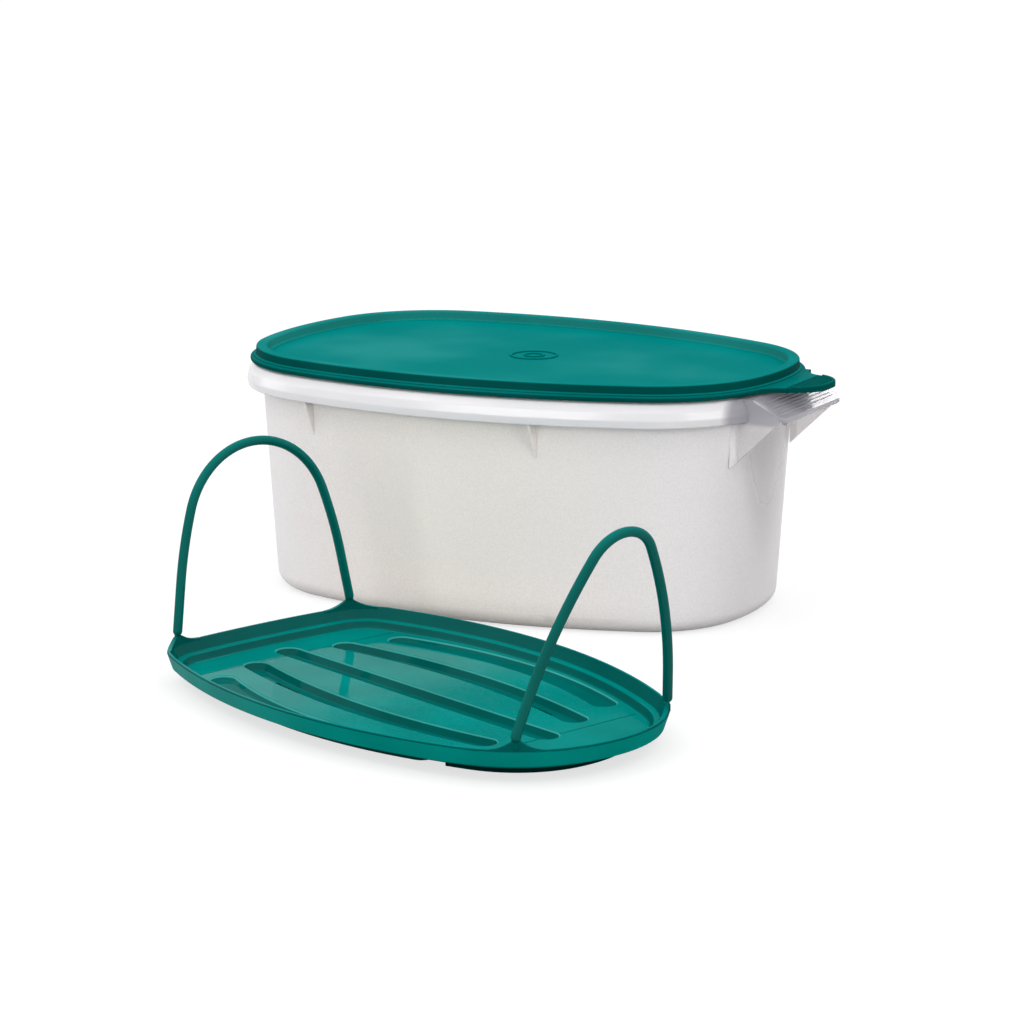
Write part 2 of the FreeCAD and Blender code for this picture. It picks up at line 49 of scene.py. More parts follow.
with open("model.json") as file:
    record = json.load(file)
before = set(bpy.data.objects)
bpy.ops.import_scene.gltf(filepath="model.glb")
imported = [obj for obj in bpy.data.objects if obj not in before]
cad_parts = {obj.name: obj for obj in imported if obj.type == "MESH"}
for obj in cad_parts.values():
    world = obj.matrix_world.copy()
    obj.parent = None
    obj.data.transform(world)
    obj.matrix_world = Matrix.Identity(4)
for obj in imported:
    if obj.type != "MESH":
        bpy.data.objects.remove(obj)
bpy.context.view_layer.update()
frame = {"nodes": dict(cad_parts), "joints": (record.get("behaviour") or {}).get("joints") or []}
JOINTS = {joint["name"]: joint for joint in frame["joints"]}
LEFT_HINGE = Vector(JOINTS["left_hoop_hinge"]["pos_m"])
RIGHT_HINGE = Vector(JOINTS["right_hoop_hinge"]["pos_m"])
STRAINER_ACROSS = Vector(JOINTS["left_hoop_hinge"]["axis"]).normalized()
STRAINER_ALONG = STRAINER_ACROSS.cross(Vector((0, 0, 1)))
LID_LOW, LID_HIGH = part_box("lid")
MM = 0.001

PANEL_DEPTH = 5 * MM        # from the lid's top down to its recessed panel
TAB_THICKNESS = 2.3 * MM    # the lid's finger tab, from the lid's lowest level up
FLOOR_SIZE = 14.0
FLOOR_GAP = 0.2 * MM        # keeps the floor's face clear of the object's underside
STAGE_MIDDLE = Vector((0.03, -0.12, 0.05))
CONTAINER_MIDDLE = Vector((0, 0, 0.07))
GLOW_LAMPS = (              # name, place and share of the glow's power
    ("glow_front", (-0.1, -1.6, 0.30), 1.0),
    ("glow_left", (-1.6, -0.5, 0.35), 0.45),
    ("glow_rear", (0.0, 1.6, 0.35), 0.8),
    ("glow_right", (1.7, -0.5, 0.35), 0.85),
)
AWAY_FROM_CAMERA = (-0.48, 0.88, 0.0)


# ---------------------------------------------------------------- settings

def length(name, about, default, low=0.0, high=1.0):
    """A length property in metres."""
    return bpy.props.FloatProperty(
        name=name, description=about, default=default, min=low, max=high,
        subtype="DISTANCE", unit="LENGTH", precision=5)


def number(name, about, default, low=0.0, high=10.0):
    """A plain number property."""
    return bpy.props.FloatProperty(
        name=name, description=about, default=default, min=low, max=high)


def colour(name, about, hex_code):
    """A colour property from an sRGB hex code."""
    return bpy.props.FloatVectorProperty(
        name=name, description=about, default=linear(hex_code),
        subtype="COLOR", size=3, min=0.0, max=1.0)


def linear(hex_code):
    """Linear RGB from an sRGB hex code such as '0A8F86'."""
    channels = [int(hex_code[i:i + 2], 16) / 255 for i in (0, 2, 4)]
    return tuple(c / 12.92 if c <= 0.04045 else ((c + 0.055) / 1.055) ** 2.4
                 for c in channels)


class KeeperPlastics(bpy.types.PropertyGroup):
    """Colours and grain of the three mouldings, some of them painted shade, painted highlight
    and painted light.
    """

    body: colour("Container", "Frosted container plastic", "F2E9E2")
    body_shade: colour("Container shade", "Thicker places of the container", "D8D5D2")
    body_end: colour("Container end", "Container wall towards its ends", "EEEAEC")
    flange: colour("Flange", "Polished rim, flange and wing", "E0DEE1")
    wing: colour("Wing", "Thin clear wing at the container's end", "C6C4CB")
    lid: colour("Lid", "Soft lid plastic", "008D8A")
    # Painted reflection: the lighter upright edge round the lid's panel, where a soft box is
    # mirrored.
    lid_inner: colour("Lid inner edge", "The lid's upright edge around its panel", "2BA39C")
    # Painted shade: the darker outer skirt, tab edge, lowest level and grip patch of the lid.
    lid_edge: colour("Lid edge", "The lid's upright skirt and tab edge", "006661")
    strainer: colour("Strainer", "Glossy strainer plastic", "008E88")
    hoop: colour("Hoop", "Glossy plastic of the two hoops", "007F77")
    # Painted shade on the strainer's walls and in its grooves.
    strainer_deep: colour("Strainer deep", "Steep walls and grooves of the strainer",
                          "006E69")
    # Painted highlight along the edges of the grooves.
    strainer_lip: colour("Strainer lip", "Edges of the grooves in the strainer", "3FB0A7")
    # Painted light: the lighter outer skirt of the strainer.
    strainer_skirt: colour("Strainer skirt", "Outer skirt of the strainer", "00BDB2")
    grain: length("Grain", "Size of the moulded grain", 1.0 * MM, 0.1 * MM, 3 * MM)
    stipple: length("Stipple", "Size of the strainer floor's stipple", 1.3 * MM,
                    0.2 * MM, 5 * MM)


class TabGripSizes(bpy.types.PropertyGroup):
    """Sizes of the studs on the lid's finger tab."""

    pitch: length("Pitch", "Distance between studs", 1.6 * MM, 0.5 * MM, 5 * MM)
    stud: length("Stud", "Width of one stud", 1.1 * MM, 0.2 * MM, 4 * MM)
    height: length("Height", "How far a stud stands out", 0.35 * MM, 0.05 * MM, 2 * MM)
    reach: length("Reach", "Length of the patch along the tab", 13 * MM, 2 * MM, 40 * MM)
    half_width: length("Half width", "Half of the patch's width", 19.5 * MM,
                       2 * MM, 40 * MM)
    inset: length("Inset", "Space between the patch and the tab's tip", 2.4 * MM,
                  0.0, 20 * MM)
    aside: length("Aside", "How far the tab sits to one side", 4.0 * MM,
                  -40 * MM, 40 * MM)
    corner: length("Corner", "Radius of the patch's two outer corners", 11 * MM,
                   0.0, 20 * MM)


class HingeWebSizes(bpy.types.PropertyGroup):
    """Sizes of the living hinges between the corner fins and the hoops."""

    left_half: length("Left half span", "Half the distance between the left hoop's feet",
                      54.2 * MM, 10 * MM, 100 * MM)
    right_half: length("Right half span", "Half the distance between the right feet",
                       46.3 * MM, 10 * MM, 100 * MM)
    top: length("Top", "From the hinge axis down to the web's top", 0.7 * MM,
                0.0, 3 * MM)
    drop: length("Drop", "From the hinge axis down into the fin", 3.3 * MM,
                 2 * MM, 10 * MM)
    foot: length("Foot", "Half width of the web at the hoop's foot", 2.3 * MM,
                 0.5 * MM, 5 * MM)
    neck: length("Neck", "Half width of the web at its narrowest", 2.05 * MM,
                 0.2 * MM, 5 * MM)
    flare: length("Flare", "Half width of the web where it meets the fin", 3.2 * MM,
                  0.5 * MM, 12 * MM)
    waist: length("Waist", "Half thickness of the web where it meets the fin", 0.9 * MM,
                  0.2 * MM, 3 * MM)
    hold: length("Hold", "From the hinge axis down to where the web stays with the tray",
                 2.6 * MM, 0.0, 10 * MM)
    follow: length("Follow", "From the hinge axis down to where the web goes with the hoop",
                   0.6 * MM, 0.0, 10 * MM)


class StageSettings(bpy.types.PropertyGroup):
    """Camera, light and floor."""

    lens: number("Lens", "Focal length on a 36 mm square frame", 107.54, 10, 400)
    camera_place: bpy.props.FloatVectorProperty(
        name="Camera place", description="Where the camera stands",
        default=(0.7907, -1.4469, 0.4151), subtype="TRANSLATION", unit="LENGTH")
    camera_aim: bpy.props.FloatVectorProperty(
        name="Camera aim", description="The way the camera looks",
        default=(-0.4728, 0.8531, -0.2209), subtype="DIRECTION")
    key_power: number("Key light", "Power of the key light, in watts", 4.0, 0, 200)
    fill_power: number("Fill light", "Power of the fill light, in watts", 1.2, 0, 200)
    glow_power: number("Glow", "Power of each lamp that lights the container alone",
                       16.0, 0, 200)
    sky: number("Sky", "Strength of the overhead light", 1.2)
    horizon: number("Horizon", "Strength of the light from behind, low down", 0.20)
    near_horizon: number("Near horizon", "Strength of the light from the front, low down",
                         0.08)
    floor_lift: number("Floor lift", "Light that the pale floor adds for the camera",
                       0.715)
    board: number("Board", "Share of the light that the floor throws back", 0.36, 0, 1)


# --------------------------------------------------------------- materials

def add_node(tree, kind, links=(), settings=(), **values):
    """Adds a node, sets its options and inputs, and links into its inputs."""
    node = tree.nodes.new(kind)
    for name, value in dict(settings).items():
        setattr(node, name, value)
    for name, value in values.items():
        socket = int(name[1:]) if name[0] == "_" and name[1:].isdigit() else name
        node.inputs[socket].default_value = value
    for name, output in dict(links).items():
        tree.links.new(output, node.inputs[name])
    return node


def new_material(name):
    """An empty node material and its tree."""
    material = bpy.data.materials.new(name)
    material.use_nodes = True
    material.node_tree.nodes.clear()
    return material, material.node_tree


def finish_material(tree, shader):
    """Links a shader output to the material's surface."""
    add_node(tree, "ShaderNodeOutputMaterial", {"Surface": shader})


def feed(tree, socket, value):
    """Links an output into a socket, or sets it to a number or an RGB colour."""
    if isinstance(value, bpy.types.NodeSocket):
        tree.links.new(value, socket)
    elif isinstance(value, (int, float)):
        socket.default_value = value
    else:
        socket.default_value = (*value, 1)


def object_place(tree):
    """Object coordinates, as one vector and as separate axes."""
    place = add_node(tree, "ShaderNodeTexCoord").outputs["Object"]
    return place, add_node(tree, "ShaderNodeSeparateXYZ", {0: place}).outputs


def strainer_axes(tree, place):
    """Object coordinates turned into the strainer's own length, width and height."""
    middle = (LEFT_HINGE + RIGHT_HINGE) / 2
    turn = math.atan2(STRAINER_ALONG.y, STRAINER_ALONG.x)
    turned = add_node(tree, "ShaderNodeMapping", {"Vector": place},
                      {"vector_type": "TEXTURE"},
                      Location=(middle.x, middle.y, 0), Rotation=(0, 0, turn))
    return add_node(tree, "ShaderNodeSeparateXYZ", {0: turned.outputs[0]}).outputs


def noise(tree, place, size, detail, roughness):
    """Soft noise whose spots are about one size wide."""
    return add_node(tree, "ShaderNodeTexNoise", {"Vector": place}, Scale=1 / size,
                    Detail=detail, Roughness=roughness).outputs["Fac"]


def ramp_between(tree, value, low, high, start=0.0, end=1.0):
    """A smooth change from start to end while value goes from low to high."""
    node = add_node(tree, "ShaderNodeMapRange", {"Value": value},
                    {"interpolation_type": "SMOOTHSTEP"})
    for name, setting in (("From Min", low), ("From Max", high),
                          ("To Min", start), ("To Max", end)):
        feed(tree, node.inputs[name], setting)
    return node.outputs["Result"]


def mixed(tree, factor, first, second, blend="MIX"):
    """Two colours put together, each an RGB tuple or an output."""
    node = add_node(tree, "ShaderNodeMix", (), {"data_type": "RGBA", "blend_type": blend})
    for index, value in ((0, factor), (6, first), (7, second)):
        feed(tree, node.inputs[index], value)
    return node.outputs[2]


def between(tree, factor, first, second):
    """A value between two, each a number or an output."""
    node = add_node(tree, "ShaderNodeMix", {"Factor": factor}, {"data_type": "FLOAT"})
    for index, value in ((2, first), (3, second)):
        feed(tree, node.inputs[index], value)
    return node.outputs[0]


def combine(tree, operation, first, second=0.0):
    """A math node on one or two values, each an output or a number."""
    node = add_node(tree, "ShaderNodeMath", (), {"operation": operation})
    for index, value in enumerate((first, second)):
        feed(tree, node.inputs[index], value)
    return node.outputs[0]


def product(tree, first, *others):
    """Several values multiplied together."""
    for other in others:
        first = combine(tree, "MULTIPLY", first, other)
    return first


def true_normal(tree):
    """The way a face looks, before any bump."""
    return add_node(tree, "ShaderNodeNewGeometry").outputs["True Normal"]


def upward(tree):
    """How far a face looks up: 1 for a level top, 0 upright, -1 underneath."""
    return add_node(tree, "ShaderNodeSeparateXYZ", {0: true_normal(tree)}).outputs["Z"]


def bump(tree, height, strength, distance, normal=None):
    """A normal that follows a height; the strength is a number or an output."""
    node = add_node(tree, "ShaderNodeBump", {"Height": height}, Distance=distance)
    feed(tree, node.inputs["Strength"], strength)
    if normal:
        tree.links.new(normal, node.inputs["Normal"])
    return node.outputs[0]


def frosted_polypropylene(plastics):
    """Natural polypropylene, injection moulded against a spark-textured tool.

    It lets light through but no picture, so it looks milky. The rim, flange
    and wing come from a polished part of the tool and shine more.
    """
    polish_heights = (110 * MM, 113 * MM)
    end_distances = (20 * MM, 140 * MM)
    wing_distances = (140 * MM, 144 * MM)
    cloud_size = 120 * MM
    material, tree = new_material("Frosted polypropylene")
    place, axes = object_place(tree)
    polished = ramp_between(tree, axes["Z"], *polish_heights)
    grain = noise(tree, place, plastics.grain, 2.0, 0.6)
    tint = ramp_between(tree, noise(tree, place, cloud_size, 1.0, 0.5), 0.35, 0.65)
    speckle = ramp_between(tree, grain, 0.38, 0.62, 0.0, 0.30)
    amount = combine(tree, "ADD", product(tree, tint, 0.12), speckle)
    end = ramp_between(tree, combine(tree, "ABSOLUTE", axes["X"]), *end_distances)
    wall = mixed(tree, end, plastics.body, plastics.body_end)
    wall = mixed(tree, amount, wall, plastics.body_shade)
    thin = ramp_between(tree, axes["X"], *wing_distances)
    clear_parts = mixed(tree, thin, plastics.flange, plastics.wing)
    smooth = combine(tree, "MAXIMUM", polished, thin)
    rough = combine(tree, "SUBTRACT", 0.50, product(tree, smooth, 0.30))
    strength = combine(tree, "SUBTRACT", 0.35, product(tree, smooth, 0.33))
    shader = add_node(
        tree, "ShaderNodeBsdfPrincipled",
        {"Base Color": mixed(tree, polished, wall, clear_parts), "Roughness": rough,
         "Transmission Weight": combine(tree, "ADD", 0.10, product(tree, thin, 0.50)),
         "Coat Weight": product(tree, smooth, 0.12),
         "Normal": bump(tree, grain, strength, 0.08 * MM)},
        IOR=1.40,
        **{"Subsurface Weight": 0.5, "Subsurface Radius": (1.0, 0.95, 0.9),
           "Subsurface Scale": 4 * MM, "Coat Roughness": 0.06})
    finish_material(tree, shader.outputs[0])
    return material


def satin_polyethylene(plastics, grip):
    """Soft low-density polyethylene, moulded with a fine matt grain.

    The recessed panel is satin; the raised rim, channel and lip are smoother.
    The upright edge round the panel is lighter with a painted reflection. The outer
    edges, the lowest level and the grip patch are darker with painted shade.
    """
    panel_top = LID_HIGH.z - PANEL_DEPTH
    lowest_level = (LID_LOW.z + 2.5 * MM, LID_LOW.z + 3.1 * MM)
    grip_start = LID_HIGH.x - grip.inset - grip.reach
    cloud_size = 90 * MM
    material, tree = new_material("Satin polyethylene")
    place, axes = object_place(tree)
    raised = ramp_between(tree, axes["Z"], panel_top + 0.3 * MM, panel_top + 1.5 * MM)
    grain = noise(tree, place, plastics.grain, 2.0, 0.65)
    clouds = noise(tree, place, cloud_size, 2.0, 0.55)
    drift = ramp_between(tree, clouds, 0.3, 0.7, 0.90, 1.08)
    level = ramp_between(tree, upward(tree), 0.35, 0.9)
    flat_place = add_node(tree, "ShaderNodeVectorMath", {0: place},
                          {"operation": "MULTIPLY"}, _1=(1, 1, 0)).outputs[0]
    outward = add_node(tree, "ShaderNodeVectorMath", {0: flat_place, 1: true_normal(tree)},
                       {"operation": "DOT_PRODUCT"}).outputs["Value"]
    # Upright faces that look inward get the painted reflection, those that look outward the
    # painted shade.
    inner = ramp_between(tree, outward, -0.05, -0.02, 1.0, 0.0)
    upright = mixed(tree, inner, plastics.lid_edge, plastics.lid_inner)
    shade = mixed(tree, level, upright, plastics.lid)
    # The lowest level and the grip patch between its studs are darkened with the same painted
    # shade.
    low = ramp_between(tree, axes["Z"], *lowest_level, 0.45, 0.0)
    patch = product(tree, ramp_between(tree, axes["X"], grip_start - 0.5 * MM, grip_start),
                    0.85)
    shade = mixed(tree, combine(tree, "MAXIMUM", low, patch), shade, plastics.lid_edge)
    shader = add_node(
        tree, "ShaderNodeBsdfPrincipled",
        {"Base Color": mixed(tree, 1.0, shade, drift, "MULTIPLY"),
         "Roughness": combine(tree, "SUBTRACT", 0.42, product(tree, raised, 0.15)),
         "Coat Weight": ramp_between(tree, clouds, 0.35, 0.65, 0.02, 0.07),
         "Normal": bump(tree, grain, 0.22, 0.06 * MM)},
        IOR=1.50, **{"Specular IOR Level": 0.0, "Coat Roughness": 0.25})
    finish_material(tree, shader.outputs[0])
    return material


def tray_shade(tree, plastics, height):
    """The tray's colour by place, with painted shade on its walls and grooves, a painted
    highlight on the groove lips and painted light on the skirt, and how dull its walls, grooves
    and skirt are.
    """
    groove_heights = (5.0 * MM, 6.0 * MM)
    lip_starts = (5.45 * MM, 5.6 * MM)
    lip_ends = (6.05 * MM, 6.15 * MM)
    facing = upward(tree)
    # Painted shade on the walls and in the grooves.
    steep = combine(tree, "SUBTRACT", ramp_between(tree, facing, -0.12, 0.05),
                    ramp_between(tree, facing, 0.80, 0.97))
    sunken = ramp_between(tree, height, *groove_heights, 1.0, 0.0)
    deep = combine(tree, "MAXIMUM", steep, sunken)
    # Painted light on the skirt, whose faces look down.
    under = ramp_between(tree, facing, -0.30, -0.05, 1.0, 0.0)
    shade = mixed(tree, under, plastics.strainer, plastics.strainer_skirt)
    shade = mixed(tree, deep, shade, plastics.strainer_deep)
    # Painted highlight on the rounded groove edges.
    lip = product(tree, ramp_between(tree, height, *lip_starts),
                  ramp_between(tree, height, *lip_ends, 1.0, 0.0),
                  ramp_between(tree, facing, 0.0, 0.1))
    shade = mixed(tree, lip, shade, plastics.strainer_lip)
    return shade, product(tree, combine(tree, "MAXIMUM", deep, under), 0.6)


def stippled_place(tree, axes):
    """1 on the right half of the tray's floor, 0 near its edges and off the floor."""
    right_starts = (-30 * MM, 20 * MM)
    side_ends = (48 * MM, 66 * MM)
    right_ends = (76 * MM, 92 * MM)
    floor_ends = (6.35 * MM, 6.6 * MM)
    floor_starts = (5.7 * MM, 6.1 * MM)
    across = combine(tree, "ABSOLUTE", axes["Y"])
    return product(tree, ramp_between(tree, axes["X"], *right_starts),
                   ramp_between(tree, across, *side_ends, 1.0, 0.0),
                   ramp_between(tree, axes["X"], *right_ends, 1.0, 0.0),
                   ramp_between(tree, axes["Z"], *floor_ends, 1.0, 0.0),
                   ramp_between(tree, axes["Z"], *floor_starts))


def polished_polypropylene(plastics, name, tray):
    """Dyed polypropylene, moulded in a polished tool, with a wet-looking gloss.

    On the tray the walls and grooves carry a painted shade, the groove lips a painted
    highlight and the skirt painted light; the gloss fades to the right, and the
    floor is stippled there.
    """
    wave_size = 30 * MM
    gloss_fade = (-50 * MM, 50 * MM)
    material, tree = new_material(name)
    place, place_axes = object_place(tree)
    waves = noise(tree, place, wave_size, 1.0, 0.4)
    drift = ramp_between(tree, waves, 0.3, 0.7, 0.93, 1.06)
    normal = bump(tree, waves, 0.10, 0.25 * MM)
    shade = plastics.hoop
    if tray:
        shade, dull = tray_shade(tree, plastics, place_axes["Z"])
    shader = add_node(
        tree, "ShaderNodeBsdfPrincipled",
        {"Base Color": mixed(tree, 1.0, shade, drift, "MULTIPLY")}, IOR=1.50,
        Roughness=0.10, **{"Specular IOR Level": 0.0, "Coat Roughness": 0.04,
                           "Coat Weight": 0.14})
    if tray:
        axes = strainer_axes(tree, place)
        patch = stippled_place(tree, axes)
        rough = combine(tree, "ADD", 0.10, product(tree, patch, 0.22))
        coat = ramp_between(tree, axes["X"], *gloss_fade, 0.32, 0.05)
        coat = product(tree, coat, combine(tree, "SUBTRACT", 1.0, dull))
        feed(tree, shader.inputs["Roughness"], rough)
        feed(tree, shader.inputs["Coat Weight"], coat)
        stipple = noise(tree, place, plastics.stipple, 1.0, 0.5)
        normal = bump(tree, stipple, patch, 0.6 * MM, normal)
    for socket in ("Normal", "Coat Normal"):
        feed(tree, shader.inputs[socket], normal)
    finish_material(tree, shader.outputs[0])
    return material


def dress(piece, material):
    """Gives a piece one material."""
    piece.data.materials.clear()
    piece.data.materials.append(material)


# ------------------------------------------------------------ piece making

def new_piece(name, mesh, body, material):
    """A finished piece at the origin that rides on a body."""
    piece = bpy.data.objects.new(name, mesh)
    bpy.context.scene.collection.objects.link(piece)
    dress(piece, material)
    if body:
        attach(piece, body)
    return piece


def grip_tree():
    """Node tree that sets small pyramid studs on a grid with two rounded corners."""
    foot_radius = 0.72    # per stud width, on a stud with four corners
    top_radius = 0.36
    tree = bpy.data.node_groups.new("Stud grid", "GeometryNodeTree")
    face = tree.interface
    face.new_socket("Geometry", in_out="INPUT", socket_type="NodeSocketGeometry")
    for label, low in (("Length", 0.001), ("Width", 0.001), ("Pitch", 0.0002),
                       ("Stud", 0.0001), ("Height", 0.00005), ("Round", 0.0)):
        socket = face.new_socket(label, in_out="INPUT", socket_type="NodeSocketFloat")
        socket.min_value = low
    face.new_socket("Plastic", in_out="INPUT", socket_type="NodeSocketMaterial")
    face.new_socket("Geometry", in_out="OUTPUT", socket_type="NodeSocketGeometry")
    given = add_node(tree, "NodeGroupInput").outputs

    def count(size):
        """How many studs fit along a size."""
        return combine(tree, "FLOOR", combine(tree, "DIVIDE", given[size], given["Pitch"]))

    def past(spot, size):
        """How far a stud lies past the place where the patch's corner starts."""
        half = product(tree, given[size], 0.5)
        beyond = combine(tree, "ADD", combine(tree, "SUBTRACT", spot, half), given["Round"])
        return combine(tree, "MAXIMUM", beyond, 0.0)

    grid = add_node(tree, "GeometryNodeMeshGrid", {
        "Size X": given["Length"], "Size Y": given["Width"],
        "Vertices X": count("Length"), "Vertices Y": count("Width")})
    place = add_node(tree, "GeometryNodeInputPosition").outputs[0]
    axes = add_node(tree, "ShaderNodeSeparateXYZ", {0: place}).outputs
    # A stud is left out where the patch's outer corners are rounded off.
    corner = add_node(tree, "ShaderNodeCombineXYZ", {
        "X": past(axes["X"], "Length"),
        "Y": past(combine(tree, "ABSOLUTE", axes["Y"]), "Width")})
    away = add_node(tree, "ShaderNodeVectorMath", {0: corner.outputs[0]},
                    {"operation": "LENGTH"})
    outside = add_node(tree, "FunctionNodeCompare",
                       {"A": away.outputs["Value"], "B": given["Round"]},
                       {"data_type": "FLOAT", "operation": "GREATER_THAN"})
    kept = add_node(tree, "GeometryNodeDeleteGeometry",
                    {"Geometry": grid.outputs["Mesh"], "Selection": outside.outputs[0]},
                    {"domain": "POINT"})
    stud = add_node(tree, "GeometryNodeMeshCone", {
        "Radius Bottom": product(tree, given["Stud"], foot_radius),
        "Radius Top": product(tree, given["Stud"], top_radius),
        "Depth": given["Height"]}, Vertices=4)
    turned = add_node(tree, "GeometryNodeTransform", {"Geometry": stud.outputs["Mesh"]},
                      Rotation=(0, 0, math.radians(45)))
    studs = add_node(tree, "GeometryNodeInstanceOnPoints",
                     {"Points": kept.outputs[0], "Instance": turned.outputs[0]})
    solid = add_node(tree, "GeometryNodeRealizeInstances",
                     {"Geometry": studs.outputs[0]})
    coloured = add_node(tree, "GeometryNodeSetMaterial",
                        {"Geometry": solid.outputs[0],
                         "Material": given["Plastic"]})
    add_node(tree, "NodeGroupOutput", {0: coloured.outputs[0]})
    return tree


def made_by(tree, values):
    """The plain mesh that a geometry node tree makes from named inputs."""
    holder = bpy.data.objects.new("holder", bpy.data.meshes.new("holder"))
    bpy.context.scene.collection.objects.link(holder)
    modifier = holder.modifiers.new("Nodes", "NODES")
    modifier.node_group = tree
    for item in tree.interface.items_tree:
        if item.in_out == "INPUT" and item.name in values:
            modifier[item.identifier] = values[item.name]
    graph = bpy.context.evaluated_depsgraph_get()
    mesh = bpy.data.meshes.new_from_object(holder.evaluated_get(graph))
    bpy.data.objects.remove(holder)
    return mesh


def wall_way(hinge):
    """Which way the corner fin runs under a hinge, read from the tray's mesh."""
    reach, depth = 9 * MM, 4.5 * MM
    near = [v.co - hinge for v in frame["nodes"]["strainer_tray"].data.vertices
            if (v.co.xy - hinge.xy).length < reach and v.co.z > hinge.z - depth]
    xx = sum(p.x * p.x for p in near)
    yy = sum(p.y * p.y for p in near)
    xy = sum(p.x * p.y for p in near)
    angle = math.atan2(2 * xy, xx - yy) / 2
    return Vector((math.cos(angle), math.sin(angle), 0))


def hinge_web(mesh, hinge, sizes):
    """A strip that runs from a hoop's round foot down into its corner fin."""
    steps, count = 12, 24     # rings down the web, and points round each ring
    neck_end = 0.6            # share of the height at which the neck has ended
    flare_start = 0.35        # share of the height at which the flare starts
    thinner = 0.35 * MM       # what the flare takes off the half thickness
    along = wall_way(hinge)
    through = along.cross(Vector((0, 0, 1)))
    rings = []
    for i in range(steps + 1):
        t = i / steps
        z = -sizes.top - t * (sizes.drop - sizes.top)
        pinch = math.sin(math.pi * min(t / neck_end, 1.0)) ** 2
        spread = max(0.0, (t - flare_start) / (1 - flare_start)) ** 2
        wide = sizes.foot - (sizes.foot - sizes.neck) * pinch
        wide += (sizes.flare - sizes.foot) * spread
        thick = sizes.foot - (sizes.foot - sizes.waist) * min(1.0, t / neck_end)
        thick -= thinner * spread
        ring = []
        for k in range(count):
            angle = 2 * math.pi * k / count
            spot = hinge + along * wide * math.cos(angle)
            spot += through * thick * math.sin(angle) + Vector((0, 0, z))
            ring.append(mesh.verts.new(spot))
        rings.append(ring)
    for low, high in zip(rings, rings[1:]):
        for i in range(count):
            j = (i + 1) % count
            mesh.faces.new((low[i], low[j], high[j], high[i]))
    mesh.faces.new(rings[0][::-1])
    mesh.faces.new(rings[-1])


# --------------------------------------------------------------- operators

class KEEPER_OT_container(bpy.types.Operator):
    """Dress the frosted container"""

    bl_idname = "keeper.container"
    bl_label = "Container"

    def execute(self, context):
        plastics = context.scene.keeper_plastics
        dress(frame["nodes"]["container"], frosted_polypropylene(plastics))
        return {"FINISHED"}


class KEEPER_OT_lid(bpy.types.Operator):
    """Dress the soft lid and stud its finger tab"""

    bl_idname = "keeper.lid"
    bl_label = "Lid"

    def execute(self, context):
        plastics = context.scene.keeper_plastics
        sizes = context.scene.keeper_tab_grip
        plastic = satin_polyethylene(plastics, sizes)
        dress(frame["nodes"]["lid"], plastic)
        mesh = made_by(grip_tree(), {
            "Length": sizes.reach, "Width": 2 * sizes.half_width,
            "Pitch": sizes.pitch, "Stud": sizes.stud, "Height": 2 * sizes.height,
            "Round": sizes.corner, "Plastic": plastic})
        tab_top = LID_LOW.z + TAB_THICKNESS
        middle_x = LID_HIGH.x - sizes.inset - sizes.reach / 2
        mesh.transform(Matrix.Translation((middle_x, sizes.aside, tab_top - sizes.height)))
        new_piece("tab_grip", mesh, "lid", plastic)
        return {"FINISHED"}


class KEEPER_OT_strainer(bpy.types.Operator):
    """Dress the strainer tray and its lifting hoops"""

    bl_idname = "keeper.strainer"
    bl_label = "Strainer and hoops"

    def execute(self, context):
        plastics = context.scene.keeper_plastics
        dress(frame["nodes"]["strainer_tray"],
              polished_polypropylene(plastics, "Polished polypropylene, tray", True))
        rod = polished_polypropylene(plastics, "Polished polypropylene, hoop", False)
        dress(frame["nodes"]["left_hoop"], rod)
        dress(frame["nodes"]["right_hoop"], rod)
        return {"FINISHED"}


class KEEPER_OT_hinges(bpy.types.Operator):
    """Make the living hinges under the hoops' feet"""

    bl_idname = "keeper.hinges"
    bl_label = "Living hinges"

    def execute(self, context):
        sizes = context.scene.keeper_hinge_webs
        rod = frame["nodes"]["left_hoop"].data.materials[0]
        spans = {"left_hoop": (LEFT_HINGE, sizes.left_half),
                 "right_hoop": (RIGHT_HINGE, sizes.right_half)}
        for hoop, (hinge, half) in spans.items():
            shape = bmesh.new()
            for side in (-1, 1):
                hinge_web(shape, hinge + STRAINER_ACROSS * side * half, sizes)
            bmesh.ops.recalc_face_normals(shape, faces=shape.faces)
            mesh = bpy.data.meshes.new(hoop + "_hinges")
            shape.to_mesh(mesh)
            shape.free()
            mesh.shade_smooth()
            piece = new_piece(hoop + "_hinges", mesh, None, rod)
            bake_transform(piece)
        return {"FINISHED"}


